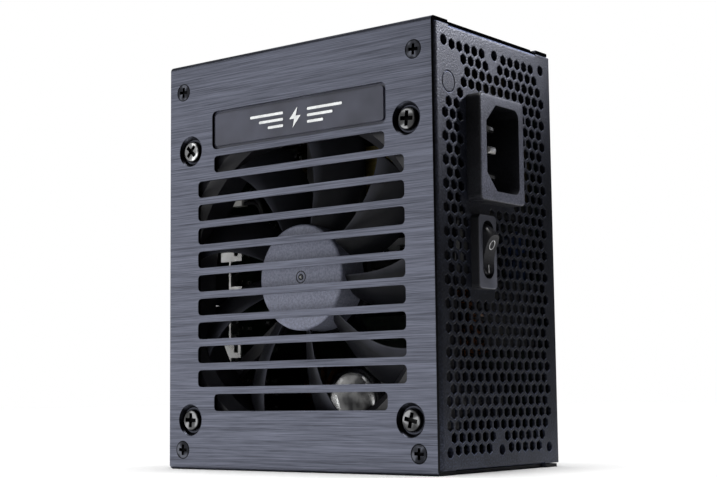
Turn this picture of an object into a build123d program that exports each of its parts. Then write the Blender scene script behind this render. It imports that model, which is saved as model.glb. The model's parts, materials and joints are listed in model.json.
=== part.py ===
from build123d import *
import math
import os

# Small-form-factor computer power supply, 125 x 100 x 63.5 mm, in millimetres.
# +Z is up as the unit stands on its short end, and the origin is the middle of the bottom face.
# The fan cover faces -Y, the mains panel faces +X, the output sockets face -X, the back wall +Y.

# ------------------------------------------------------------------ case
WIDTH = 100.0
DEPTH = 63.5
HEIGHT = 125.0
SIDE = WIDTH / 2
FRONT = -DEPTH / 2
BACK = DEPTH / 2
MIDDLE = HEIGHT / 2

COVER_T = 1.0            # thickness of the fan cover's sheet
COVER_BEND = 1.5         # its outer bend radius
COVER_END = 29.8         # the cover's top and bottom walls reach this Y
SETBACK = 1.0            # between the corner tabs the walls stop this short of the side panels
TAB_Y = (-23.6, 23.4)    # the flush corner tabs lie outside this span
NOTCH = (1.5, 1.6)       # relief notch at each tab, in Y and in X

BASE_T = 0.8             # thickness of the folded base's sheet
BASE_FRONT = -30.2       # the base's front flanges lie just behind the cover
BASE_LOW = 1.2
BASE_HIGH = HEIGHT - BASE_LOW
BASE_BEND = 1.8          # outer bend radius of its front edges
BACK_BEND = 1.2          # and of its back edges
FRONT_FLANGE = 2.4       # width of the flange along each front edge
SCREW_TAB_X = 39.0       # the flange widens inwards to here at the corners
SCREW_TABS_Z = ((1.5, 9.0), (108.0, 122.0))
EDGE_FLANGE_Y = (-23.3, 23.1)
EDGE_FLANGE_REACH = 8.0
BACK_FLANGE_X = 40.0
BACK_FLANGE_REACH = 11.5

PANEL_IN = SIDE - BASE_T
BACK_IN = BACK - BASE_T

# ------------------------------------------------------------------ grille and name window
SLOT_COUNT = 11
SLOT_PITCH = 7.215
SLOT_HEIGHT = 5.1
SLOT_R = 1.3
SLOT_LONG_X = (-38.0, 40.3)
SLOT_SHORT_X = (-31.3, 33.7)
GRILLE_Z = 56.05

WINDOW_X = (-32.1, 34.3)
WINDOW_Z = (96.75, 108.6)
WINDOW_R = 1.8
WINDOW_GAP = 1.05        # dark gap round the raised pad of the name plate
PAD_RECESS = 0.25
PLATE_X = (-33.6, 35.4)
PLATE_Z = (95.15, 110.1)
PLATE_T = 0.8
EMBLEM_T = 0.2

# ------------------------------------------------------------------ screws in the fan face
FAN_Z = 56.0
FAN_HOLES = 82.5         # hole spacing of a 92 mm fan
DIMPLE_R = 4.75
DIMPLE_FLOOR_R = 3.8
DIMPLE_DEPTH = 1.4
FAN_SCREW_R = 3.2
FAN_SHANK_R = 2.1
COVER_SCREW_X = (-44.4, 43.9)
COVER_SCREW_Z = (5.8, 116.2)
COVER_SCREW_R = 2.75
COVER_SHANK_R = 1.5

# ------------------------------------------------------------------ fan
FAN_SIZE = 92.0
FAN_FRONT = FRONT + DIMPLE_DEPTH + COVER_T
FAN_T = 15.0
FAN_BACK = FAN_FRONT + FAN_T
BORE_R = 44.6
BORE_FRONT_R = 47.4      # both flares break out through the frame's flat sides
BORE_REAR_R = 48.6
FLARE_DEPTH = 3.0
HUB_FRONT = -28.55
HUB_R = 15.5
HUB_REAR = FAN_BACK - 3.85
HUB_WALL = 1.3
BLADE_COUNT = 9
BLADE_TIP_R = 43.8
BLADE_T = 1.3
BLADE_FRONT = HUB_FRONT + 1.35
BLADE_REAR = FAN_BACK - 3.6
BLADE_BOW = 0.9          # how far a section curves away from its chord
# Radius, angle of the front edge from +X, and degrees turned from there to the rear edge.
BLADE_SECTIONS = (
    (14.6, 79.4, 25.0),
    (22.0, 80.0, 23.8),
    (30.0, 82.2, 21.8),
    (38.0, 86.6, 21.0),
    (46.0, 92.9, 20.5),
)
STRUT_T = 2.25
STRUT_W = 3.8
STRUT_ANGLES = (54, 144, 234, 324)
SHAFT_R = 1.5
BEARING_R = 1.55
TUBE_R = (3.5, 4.8)

# ------------------------------------------------------------------ mains panel
HEX_PITCH = 3.8
HEX_FLAT = 2.9
HEX_ROWS = 35
HEX_COLUMNS = 14
HEX_Y = 0.1
MOUNT_Y = (-25.75, 0.0, 25.75)
MOUNT_Z = (6.0, 119.0)
MOUNT_R = 1.55
COLLAR_R = 2.6
COLLAR_T = 1.4
PANEL_SPAN_Y = (-28.4, 28.4)   # part of the panel that is drawn as one perforated face
PANEL_SPAN_Z = (3.0, 121.8)
MOUNT_CLEAR = 4.0        # no honeycomb hole's middle is nearer than this to a mounting hole,
PLUG_CLEAR = 5.0         # to the blanked hole,
HOLE_CLEAR = 0.5         # or its edge to the inlet and the switch
BARE_Y = -17.5           # the corner beside the blanked hole, up to this Y, has no holes either
BARE_Z = (106.5, 117.0)
PLUG = (-23.6, 107.6)    # middle of the blanked hole above the inlet
PLUG_R = 3.15
PLUG_GROOVE = 0.3

INLET_Y = (-15.2, 7.7)
INLET_Z = (75.2, 105.6)
INLET_PROUD = 4.8
INLET_MID = (-3.75, 90.4)
INLET_OPEN = (17.0, 24.6)
INLET_CHAMFER = 5.0
INLET_DEEP = 16.6
INLET_REAR = 33.5
BLADE_Y = (-2.0, 2.0)    # earth blade, then line and neutral, from the opening's middle
BLADE_Z = 7.0
EARTH_TIP = SIDE + 2.7
LIVE_TIP = SIDE - 0.3

SWITCH_MID = (-9.45, 61.08)
SWITCH_SIZE = (9.1, 20.9)
SWITCH_PROUD = 2.8
SWITCH_REAR = 36.0
ROCKER_SLOT = (5.6, 16.4)
PIVOT = (48.6, 61.7)     # X and Z of the rocker's axis
DRUM_R = 7.95
ROCKER_W = 5.3
FACE_R = 15.2
FACE_REACH = 20.0        # from the rocker's axis to the axis of its hollow face
FACE_TILT = 104.1        # degrees from +Z to the middle of the rocker's face, at rest
PIVOT_PIN_R = 1.15
PIVOT_HOLE_R = 1.2

# ------------------------------------------------------------------ inside
BOARD_Y = 25.4           # component side of the main circuit board
BOARD_T = 1.6
BOARD_X = (-39.5, 47.0)
BOARD_Z = (5.0, 120.0)
STANDOFFS = ((-36.5, 8.5), (43.0, 8.5), (-36.5, 116.5), (43.0, 116.5))
SOCKET_BOARD_X = (-43.4, -41.8)
SOCKET_BOARD_Y = (-13.0, 24.0)
SOCKET_BOARD_Z = (8.0, 117.0)
SOCKET_PROUD = 0.6
CELL = 4.2               # pitch of the output sockets' cells
CELL_HOLE = 3.1
SOCKET_WALL = 0.9
SOCKET_FLOOR = 1.2
SOCKET_PIN_START = 1.6   # the pins start this far inside the sockets' mouths
PIN_TAIL = 1.0           # and stand this far out of the board behind them
SOCKET_ROWS_Y = (-12.0, 1.2)
BUSBAR_Y = (-14.0, -10.2)
BUSBAR_Z = (32.6, 67.5)
BUSBAR_T = 0.8
BUSBAR_FINGER_Z = (55.3, 56.2)
# Each clip's left edge, how far its foot leans in, right edge, and low and high Z.
BUSBAR_CLIPS = ((-3.4, 0.0, 5.4, 64.2, 67.2), (-2.9, 1.6, 4.9, 33.8, 38.2))
FAN_PLUG = ((-41.8, -37.4), (-12.8, -10.0), (81.9, 85.0))
FAN_WIRE_R = 0.6
FAN_WIRE_GAP = 1.5
MAINS_WIRE_R = 1.1

# Middle in X and Z, radius and top in Y of the two big capacitors.
BULK_CAPACITORS = ((6.6, 20.2, 9.7, -12.6), (27.0, 21.0, 9.0, -4.0))
# Middle in X and Z, outer and inner radius, and low and high Y of each ring core.
PFC_CHOKE = (27.0, 45.0, 10.6, 5.4, 12.0, 22.5)
EMI_CHOKE = (20.0, 111.0, 7.0, 3.6, 14.0, 22.0)
OUTPUT_CHOKE = (-24.0, 22.0, 8.4, 4.4, 12.0, 22.5)
TRANSFORMER_Z = 87.0
CONTROL_BOARD_Z = (47.0, 48.4)
HEAT_SINK_Z = (65.5, 67.5)
TRANSISTOR_X = (-8.0, 5.0, 18.0)
OUTPUT_CAPACITOR_X = (-35.0, -27.0)
OUTPUT_CAPACITOR_Z = (74.0, 83.4, 92.8, 102.2)


def slab(x0, x1, y0, y1, z0, z1):
    """A box from its low and high faces."""
    return Pos((x0 + x1) / 2, (y0 + y1) / 2, (z0 + z1) / 2) * Box(x1 - x0, y1 - y0, z1 - z0)


def rod_x(y, z, radius, x0, x1):
    """A round bar along X."""
    return Pos((x0 + x1) / 2, y, z) * Rot(0, 90, 0) * Cylinder(radius, x1 - x0)


def rod_y(x, z, radius, y0, y1):
    """A round bar along Y."""
    return Pos(x, (y0 + y1) / 2, z) * Rot(90, 0, 0) * Cylinder(radius, y1 - y0)


def rod_z(x, y, radius, z0, z1):
    """A round bar along Z."""
    return Pos(x, y, (z0 + z1) / 2) * Cylinder(radius, z1 - z0)


def tube_y(x, z, outer, inner, y0, y1):
    """A round tube along Y."""
    return rod_y(x, z, outer, y0, y1) - rod_y(x, z, inner, y0, y1)


def cone_y(x, z, front_r, rear_r, y0, y1):
    """A cone along Y, from its radius at y0 to its radius at y1."""
    return Pos(x, (y0 + y1) / 2, z) * Rot(90, 0, 0) * Cone(rear_r, front_r, y1 - y0)


def front_plane(y):
    """Sketch plane facing -Y, with its x along X and its y along Z."""
    return Plane(origin=(0, y, 0), x_dir=(1, 0, 0), z_dir=(0, -1, 0))


def side_plane(x):
    """Sketch plane facing +X, with its x along Y and its y along Z."""
    return Plane(origin=(x, 0, 0), x_dir=(0, 1, 0), z_dir=(1, 0, 0))


def prism_y(outline, y0, y1):
    """An outline drawn in X and Z, extruded from y0 to y1."""
    return extrude(front_plane(y1) * outline, y1 - y0)


def prism_x(outline, x0, x1):
    """An outline drawn in Y and Z, extruded from x0 to x1."""
    return extrude(side_plane(x0) * outline, x1 - x0)


def round_rect(u0, u1, v0, v1, radius):
    """A rectangle with round corners, from its low and high edges."""
    return Pos((u0 + u1) / 2, (v0 + v1) / 2) * RectangleRounded(u1 - u0, v1 - v0, radius)


def edges_at(part, axis, **where):
    """The edges along an axis whose centre has the given coordinates."""
    found = part.edges().filter_by(axis)
    for name, value in where.items():
        found = found.filter_by(lambda e, n=name, v=value: abs(getattr(e.center(), n) - v) < 0.01)
    return found


def cross_recess(x, z, y, width, reach, depth, turn):
    """The driver's cross in a screw head that faces -Y."""
    bar = Box(reach, depth, width) + Box(width, depth, reach)
    return Pos(x, y + depth / 2, z) * Rot(0, turn, 0) * bar


def both(low_high, sign):
    """A span mirrored about zero when sign is negative."""
    low, high = low_high
    return (low, high) if sign > 0 else (-high, -low)


# ------------------------------------------------------------------ sheet metal
def grille_slots():
    """The eleven slots of the fan grille; the first and last are shorter."""
    slots = []
    for i in range(SLOT_COUNT):
        z = GRILLE_Z + (i - (SLOT_COUNT - 1) / 2) * SLOT_PITCH
        x0, x1 = SLOT_SHORT_X if i in (0, SLOT_COUNT - 1) else SLOT_LONG_X
        outline = round_rect(x0, x1, z - SLOT_HEIGHT / 2, z + SLOT_HEIGHT / 2, SLOT_R)
        slots.append(prism_y(outline, FRONT - 1, FRONT + COVER_T + 1))
    return slots


def fan_screw_places():
    half = FAN_HOLES / 2
    return [(x, FAN_Z + z) for x in (-half, half) for z in (-half, half)]


def cover_screw_places():
    return [(x, z) for x in COVER_SCREW_X for z in COVER_SCREW_Z]


def fan_cover():
    """Brushed U: fan face, top wall and bottom wall, with slots, window, dimples and tabs."""
    back_of_face = FRONT + COVER_T
    shell = slab(-SIDE, SIDE, FRONT, COVER_END, 0, HEIGHT)
    outer_bends = edges_at(shell, Axis.X, Y=FRONT)
    shell = fillet(outer_bends, COVER_BEND)
    hollow = slab(-SIDE - 1, SIDE + 1, back_of_face, COVER_END + 1, COVER_T, HEIGHT - COVER_T)
    hollow = fillet(edges_at(hollow, Axis.X, Y=back_of_face), COVER_BEND - COVER_T)
    shell -= hollow
    shell -= grille_slots()
    shell -= prism_y(round_rect(*WINDOW_X, *WINDOW_Z, WINDOW_R), FRONT - 1, back_of_face + 1)
    floor = FRONT + DIMPLE_DEPTH
    for x, z in fan_screw_places():
        shell += cone_y(x, z, DIMPLE_R + 0.75, DIMPLE_FLOOR_R + 0.75, back_of_face - 0.2, floor + COVER_T)
        shell -= cone_y(x, z, DIMPLE_R, DIMPLE_FLOOR_R, FRONT, floor)
        shell -= rod_y(x, z, FAN_SHANK_R + 0.2, FRONT, floor + COVER_T + 1)
    for x, z in cover_screw_places():
        shell -= cone_y(x, z, COVER_SCREW_R, COVER_SCREW_R - COVER_T, FRONT, back_of_face)
    y0, y1 = TAB_Y
    notch_y, notch_x = NOTCH
    for sign in (-1, 1):
        gap = both((SIDE - SETBACK, SIDE + 1), sign)
        nick = both((SIDE - notch_x, SIDE + 1), sign)
        for z0, z1 in ((-1, COVER_T + 1), (HEIGHT - COVER_T - 1, HEIGHT + 1)):
            shell -= slab(*gap, y0 + notch_y, y1 - notch_y, z0, z1)
            shell -= slab(*nick, y0, y0 + notch_y, z0, z1)
            shell -= slab(*nick, y1 - notch_y, y1, z0, z1)
    return shell


def hex_centres():
    """Honeycomb centres in Y and Z, leaving the inlet, switch, plug and screw holes clear."""
    row_step = HEX_PITCH * math.sqrt(3) / 2
    places = []
    for k in range(HEX_ROWS):
        z = MIDDLE + (k - (HEX_ROWS - 1) / 2) * row_step
        shift = -HEX_PITCH / 4 if k % 2 == 0 else HEX_PITCH / 4
        for i in range(HEX_COLUMNS):
            y = HEX_Y + shift + (i - (HEX_COLUMNS - 1) / 2) * HEX_PITCH
            if hex_is_clear(y, z):
                places.append((y, z))
    return places


def hex_is_clear(y, z):
    for my in MOUNT_Y:
        for mz in MOUNT_Z:
            if math.hypot(y - my, z - mz) < MOUNT_CLEAR:
                return False
    if math.hypot(y - PLUG[0], z - PLUG[1]) < PLUG_CLEAR:
        return False
    if y < BARE_Y and BARE_Z[0] < z < BARE_Z[1]:
        return False
    margin = HEX_FLAT / 2 + HOLE_CLEAR
    if INLET_Y[0] - margin < y < INLET_Y[1] + margin and INLET_Z[0] - margin < z < INLET_Z[1] + margin:
        return False
    half_y = SWITCH_SIZE[0] / 2 + margin
    half_z = SWITCH_SIZE[1] / 2 + margin
    return abs(y - SWITCH_MID[0]) > half_y or abs(z - SWITCH_MID[1]) > half_z


def ring_of(points):
    """A closed wire through points given in Y and Z, on the panel's inner face."""
    return Wire.make_polygon([Vector(PANEL_IN, y, z) for y, z in points], close=True)


def box_ring(y0, y1, z0, z1):
    return ring_of([(y0, z0), (y1, z0), (y1, z1), (y0, z1)])


def mains_panel_insert():
    """The perforated middle of the mains panel, extruded from one face with all its holes."""
    radius = HEX_FLAT / math.sqrt(3)
    corners = [math.radians(30 + 60 * k) for k in range(6)]
    holes = []
    for y, z in hex_centres():
        holes.append(ring_of([(y + radius * math.cos(a), z + radius * math.sin(a)) for a in corners]))
    for y in MOUNT_Y:
        for z in MOUNT_Z:
            holes.append(Wire.make_circle(MOUNT_R, Plane(origin=(PANEL_IN, y, z), z_dir=(1, 0, 0))))
    holes.append(box_ring(INLET_Y[0] + 1.1, INLET_Y[1] - 1.1, INLET_Z[0] + 1.6, INLET_Z[1] - 1.6))
    half_y = SWITCH_SIZE[0] / 2 - 0.4
    half_z = SWITCH_SIZE[1] / 2 - 0.5
    middle_y, middle_z = SWITCH_MID
    holes.append(box_ring(middle_y - half_y, middle_y + half_y, middle_z - half_z, middle_z + half_z))
    outline = box_ring(*PANEL_SPAN_Y, *PANEL_SPAN_Z)
    return extrude(Face(outline, holes), BASE_T, dir=(1, 0, 0))


def edge_flange():
    """The bent flange under the cover's top wall at the mains side, with a strip of side panel."""
    y0, y1 = EDGE_FLANGE_Y
    x0 = SIDE - EDGE_FLANGE_REACH
    outside = slab(x0, SIDE, y0, y1, BASE_HIGH - 1.6, BASE_HIGH)
    outside = fillet(edges_at(outside, Axis.Y, X=SIDE, Z=BASE_HIGH), 1.0)
    inside = slab(x0 - 1, PANEL_IN, y0 - 1, y1 + 1, BASE_HIGH - 3, BASE_HIGH - BASE_T)
    inside = fillet(edges_at(inside, Axis.Y, X=PANEL_IN, Z=BASE_HIGH - BASE_T), 0.3)
    return outside - inside


def back_flange():
    """The bent flange at the top of the back wall, with a strip of that wall."""
    y0 = BACK - BACK_FLANGE_REACH
    outside = slab(-BACK_FLANGE_X, BACK_FLANGE_X, y0, BACK, BASE_HIGH - 1.6, BASE_HIGH)
    outside = fillet(edges_at(outside, Axis.X, Y=BACK, Z=BASE_HIGH), 1.0)
    inside = slab(-SIDE, SIDE, y0 - 1, BACK_IN, BASE_HIGH - 3, BASE_HIGH - BASE_T)
    inside = fillet(edges_at(inside, Axis.X, Y=BACK_IN, Z=BASE_HIGH - BASE_T), 0.3)
    return outside - inside


def upside_down(part):
    return mirror(part, about=Plane.XY.offset(MIDDLE))


def base_chassis():
    """Folded steel U: mains panel, back wall and socket panel, with its flanges and collars."""
    shell = slab(-SIDE, SIDE, BASE_FRONT, BACK, BASE_LOW, BASE_HIGH)
    shell = fillet(edges_at(shell, Axis.Z, Y=BASE_FRONT), BASE_BEND)
    shell = fillet(edges_at(shell, Axis.Z, Y=BACK), BACK_BEND)
    hollow = slab(-PANEL_IN, PANEL_IN, BASE_FRONT + BASE_T, BACK_IN, BASE_LOW - 1, BASE_HIGH + 1)
    hollow = fillet(edges_at(hollow, Axis.Z, Y=BASE_FRONT + BASE_T), BASE_BEND - BASE_T)
    shell -= fillet(edges_at(hollow, Axis.Z, Y=BACK_IN), BACK_BEND - BASE_T)
    rim = SIDE - FRONT_FLANGE
    mouth = slab(-rim, rim, BASE_FRONT - 1, BASE_FRONT + BASE_T, 0, HEIGHT)
    for sign in (-1, 1):
        for z0, z1 in SCREW_TABS_Z:
            mouth -= slab(*both((SCREW_TAB_X, rim + 1), sign), BASE_FRONT - 2, BASE_FRONT + 2, z0, z1)
    shell -= mouth
    for x, z in cover_screw_places():
        shell -= rod_y(x, z, COVER_SHANK_R, BASE_FRONT - 1, BASE_FRONT + BASE_T + 1)
    strip_z = BASE_HIGH - 1.6
    trims = slab(-SIDE - 1, -PANEL_IN, *EDGE_FLANGE_Y, strip_z, HEIGHT)
    trims += slab(PANEL_IN, SIDE + 1, *EDGE_FLANGE_Y, strip_z, HEIGHT)
    trims += slab(-BACK_FLANGE_X, BACK_FLANGE_X, BACK_IN, BACK + 1, strip_z, HEIGHT)
    flanges = edge_flange() + mirror(edge_flange(), about=Plane.YZ) + back_flange()
    shell = shell - trims - upside_down(trims) + flanges + upside_down(flanges)
    shell -= slab(PANEL_IN - 0.1, SIDE + 0.1, *PANEL_SPAN_Y, *PANEL_SPAN_Z)
    shell += mains_panel_insert()
    for y in MOUNT_Y:
        for z in MOUNT_Z:
            ring = rod_x(y, z, COLLAR_R, PANEL_IN - COLLAR_T, PANEL_IN)
            shell += ring - rod_x(y, z, MOUNT_R, PANEL_IN - COLLAR_T - 1, SIDE)
    groove = rod_x(*PLUG, PLUG_R, SIDE - PLUG_GROOVE, SIDE + 1)
    shell -= groove - rod_x(*PLUG, PLUG_R - PLUG_GROOVE, SIDE - 1, SIDE + 2)
    for place in socket_places():
        y0, y1, z0, z1 = socket_outline(*place[1:])
        shell -= slab(-SIDE - 1, -PANEL_IN + 1, y0 - 0.2, y1 + 0.2, z0 - 0.2, z1 + 0.2)
    return shell


def cover_screws():
    """Small countersunk screws that hold the cover to the base's corner tabs."""
    group = []
    for x, z in cover_screw_places():
        head = cone_y(x, z, COVER_SCREW_R, COVER_SCREW_R - COVER_T, FRONT, FRONT + COVER_T)
        shank = rod_y(x, z, COVER_SHANK_R, FRONT + COVER_T / 2, FRONT + 6.0)
        group.append(head + shank - cross_recess(x, z, FRONT, 0.95, 3.2, 0.7, 3))
    return group


def fan_screws():
    """Pan-head screws that sit in the dimples and hold the fan."""
    floor = FRONT + DIMPLE_DEPTH
    group = []
    turns = (3, 42, 13, 5)
    for (x, z), turn in zip(fan_screw_places(), turns):
        head = rod_y(x, z, FAN_SCREW_R, floor - 1.3, floor)
        head = fillet(edges_of_face(head, floor - 1.3), 0.7)
        shank = rod_y(x, z, FAN_SHANK_R, floor - 0.5, FAN_FRONT + 6.0)
        group.append(head + shank - cross_recess(x, z, floor - 1.3, 1.2, 4.3, 1.0, turn))
    return group


def edges_of_face(part, y):
    """The edges that lie in the plane of constant Y."""
    return part.edges().filter_by(lambda e: abs(e.center().Y - y) < 0.01)


def name_plate():
    """Backing strip behind the window, with a smooth raised pad that fills it but for a gap."""
    back_of_face = FRONT + COVER_T
    backing = prism_y(round_rect(*PLATE_X, *PLATE_Z, 1.0), back_of_face, back_of_face + PLATE_T)
    x0, x1 = WINDOW_X[0] + WINDOW_GAP, WINDOW_X[1] - WINDOW_GAP
    z0, z1 = WINDOW_Z[0] + WINDOW_GAP, WINDOW_Z[1] - WINDOW_GAP
    pad = prism_y(round_rect(x0, x1, z0, z1, 0.9), FRONT + PAD_RECESS, back_of_face + 0.1)
    return backing + pad


def emblem():
    """A plain lightning bolt between short bars, standing a little proud of the name plate."""
    middle_x = sum(WINDOW_X) / 2
    middle_z = sum(WINDOW_Z) / 2
    bolt = [(0.9, 3.0), (-2.2, -0.4), (-0.3, -0.4), (-0.9, -3.0), (2.2, 0.4), (0.3, 0.4)]
    shapes = [make_face(Polyline(*bolt, close=True))]
    for sign in (-1, 1):
        for i, length in enumerate((13.0, 9.5, 6.0)):
            z = 1.9 - 1.9 * i
            x = sign * (4.6 + length / 2)
            shapes.append(Pos(x, z) * RectangleRounded(length, 0.8, 0.35))
    top = FRONT + PAD_RECESS
    return [prism_y(Pos(middle_x, middle_z) * s, top - EMBLEM_T, top) for s in shapes]


# ------------------------------------------------------------------ mains inlet and switch
def inlet_opening():
    """Outline of the inlet's mouth: the two corners beside the earth blade are cut off."""
    y, z = INLET_MID
    half_y, half_z = INLET_OPEN[0] / 2, INLET_OPEN[1] / 2
    c = INLET_CHAMFER
    points = [
        (half_y, -half_z),
        (half_y, half_z),
        (c - half_y, half_z),
        (-half_y, half_z - c),
        (-half_y, c - half_z),
        (c - half_y, -half_z),
    ]
    face = make_face(Polyline(*points, close=True))
    corners = face.vertices().filter_by(lambda v: v.X > half_y - 0.1)
    return Pos(y, z) * fillet(corners, 2.5)


def inlet_housing():
    """Moulded inlet: thick flange outside the panel, deep cavity, body behind."""
    flange = prism_x(round_rect(*INLET_Y, *INLET_Z, 1.6), SIDE, SIDE + INLET_PROUD)
    flange = fillet(flange.faces().sort_by(Axis.X)[-1].edges(), 0.7)
    y0, y1 = INLET_Y[0] + 1.3, INLET_Y[1] - 1.3
    z0, z1 = INLET_Z[0] + 1.8, INLET_Z[1] - 1.8
    body = prism_x(round_rect(y0, y1, z0, z1, 1.2), INLET_REAR, SIDE + 0.5)
    mouth = SIDE + INLET_PROUD
    housing = flange + body - prism_x(inlet_opening(), mouth - INLET_DEEP, mouth + 1)
    for pin in inlet_pins():
        housing -= pin
    return housing


def inlet_pins():
    """Earth, line and neutral blades, from their tips in the cavity to the tabs behind."""
    y, z = INLET_MID
    places = [
        (y + BLADE_Y[0], z, EARTH_TIP),
        (y + BLADE_Y[1], z + BLADE_Z, LIVE_TIP),
        (y + BLADE_Y[1], z - BLADE_Z, LIVE_TIP),
    ]
    pins = []
    for py, pz, tip in places:
        blade = slab(INLET_REAR + 0.5, tip, py - 2.0, py + 2.0, pz - 1.0, pz + 1.0)
        blade = chamfer(blade.faces().sort_by(Axis.X)[-1].edges(), 0.6)
        tab = slab(INLET_REAR - 5.0, INLET_REAR + 1.0, py - 1.8, py + 1.8, pz - 0.4, pz + 0.4)
        pins.append(blade + tab)
    return pins


def switch_housing():
    """Bezel and body of the rocker switch, with the slot that the rocker turns in."""
    y, z = SWITCH_MID
    half_y, half_z = SWITCH_SIZE[0] / 2, SWITCH_SIZE[1] / 2
    outline = round_rect(y - half_y, y + half_y, z - half_z, z + half_z, 1.4)
    bezel = prism_x(outline, SIDE, SIDE + SWITCH_PROUD)
    bezel = fillet(bezel.faces().sort_by(Axis.X)[-1].edges(), 0.5)
    half_y, half_z = half_y - 0.6, half_z - 0.7
    body = prism_x(round_rect(y - half_y, y + half_y, z - half_z, z + half_z, 0.6), SWITCH_REAR, SIDE + 0.5)
    width, length = ROCKER_SLOT
    floor = PIVOT[0] - DRUM_R - 0.35
    slot = prism_x(Pos(y, PIVOT[1]) * SlotOverall(length, width, rotation=90), floor, SIDE + 10)
    pin_hole = Pos(PIVOT[0], y, PIVOT[1]) * Rot(90, 0, 0) * Cylinder(PIVOT_HOLE_R, 7.3)
    housing = bezel + body - slot - pin_hole
    for blade in switch_terminals():
        housing -= blade
    return housing


def switch_rocker():
    """Drum-shaped rocker on stub pins; its hollow face tilts towards the lower end at rest."""
    y = SWITCH_MID[0]
    drum = Rot(90, 0, 0) * Cylinder(DRUM_R, ROCKER_W)
    drum = fillet(drum.edges().filter_by(GeomType.CIRCLE), 2.2)
    tilt = math.radians(FACE_TILT)
    centre = (FACE_REACH * math.sin(tilt), 0, FACE_REACH * math.cos(tilt))
    drum -= Pos(*centre) * Rot(90, 0, 0) * Cylinder(FACE_R, ROCKER_W + 2)
    pins = Rot(90, 0, 0) * Cylinder(PIVOT_PIN_R, ROCKER_W + 1.8)
    return Pos(PIVOT[0], y, PIVOT[1]) * (drum + pins)


def switch_terminals():
    """Two blades out of the back of the switch."""
    y, z = SWITCH_MID
    return [
        slab(SWITCH_REAR - 6.5, SWITCH_REAR + 3.0, y - 2.4, y + 2.4, z + dz - 0.4, z + dz + 0.4)
        for dz in (-5.0, 5.0)
    ]


# ------------------------------------------------------------------ fan
def fan_frame():
    """Square frame with a flared bore, corner holes, rear struts and the bearing tube."""
    half = FAN_SIZE / 2
    body = prism_y(round_rect(-half, half, FAN_Z - half, FAN_Z + half, 4.0), FAN_FRONT, FAN_BACK)
    body -= rod_y(0, FAN_Z, BORE_R, FAN_FRONT - 1, FAN_BACK + 1)
    body -= cone_y(0, FAN_Z, BORE_FRONT_R, BORE_R, FAN_FRONT, FAN_FRONT + FLARE_DEPTH)
    body -= cone_y(0, FAN_Z, BORE_R, BORE_REAR_R, FAN_BACK - FLARE_DEPTH, FAN_BACK)
    for x, z in fan_screw_places():
        body -= rod_y(x, z, FAN_SHANK_R, FAN_FRONT - 1, FAN_BACK + 1)
    strut_front = FAN_BACK - STRUT_T
    bar = slab(HUB_R - 2, BORE_REAR_R + 1.0, strut_front, FAN_BACK, -STRUT_W / 2, STRUT_W / 2)
    for angle in STRUT_ANGLES:
        body += Pos(0, 0, FAN_Z) * Rot(0, angle, 0) * bar
    body += rod_y(0, FAN_Z, HUB_R + 0.3, strut_front, FAN_BACK)
    body += rod_y(0, FAN_Z, TUBE_R[1], HUB_FRONT + 3.95, FAN_BACK - 0.5)
    return body - rod_y(0, FAN_Z, TUBE_R[0], HUB_FRONT + 3, strut_front - 0.4)


def blade_section(radius, front_angle, sweep):
    """One blade's section at a radius: two arcs and two short ends, in the plane across it."""
    middle = math.radians(front_angle - sweep / 2)
    plane = Plane(
        origin=(radius * math.cos(middle), 0, radius * math.sin(middle)),
        x_dir=(math.sin(middle), 0, -math.cos(middle)),
        z_dir=(math.cos(middle), 0, math.sin(middle)),
    )
    reach = radius * math.tan(math.radians(sweep / 2))
    along = plane.from_local_coords(Vector(0, 1, 0)).Y
    y_front, y_rear = BLADE_FRONT * along, BLADE_REAR * along
    half = BLADE_T / 2
    bow = BLADE_BOW * along
    middle_y = (y_front + y_rear) / 2
    front = [(-reach, y_front), (-reach + 0.2, y_front + half * along)]
    rear = [(reach, y_rear), (reach - 0.2, y_rear - half * along)]
    upper = ThreePointArc(front[0], (0.6, middle_y - bow - half * along), rear[1])
    lower = ThreePointArc(front[1], (-0.6, middle_y - bow + half * along), rear[0])
    ends = Line(front[0], front[1]) + Line(rear[1], rear[0])
    return plane * make_face(upper + lower + ends)


def fan_impeller():
    """Hub cup with nine swept blades; the shaft is pressed into the boss inside the cup."""
    hub = rod_y(0, 0, HUB_R, HUB_FRONT, HUB_REAR)
    hub = fillet(edges_of_face(hub, HUB_FRONT), 0.8)
    hub -= rod_y(0, 0, HUB_R - HUB_WALL, HUB_FRONT + 1.5, HUB_REAR + 1)
    hub += tube_y(0, 0, 3.2, SHAFT_R, HUB_FRONT + 1.4, HUB_FRONT + 3.4)
    blade = loft([blade_section(*section) for section in BLADE_SECTIONS])
    blade &= tube_y(0, 0, BLADE_TIP_R, HUB_R - 0.6, HUB_FRONT, BLADE_REAR + 1)
    for k in range(BLADE_COUNT):
        hub += Rot(0, -k * 360 / BLADE_COUNT, 0) * blade
    return Pos(0, 0, FAN_Z) * hub


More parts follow.
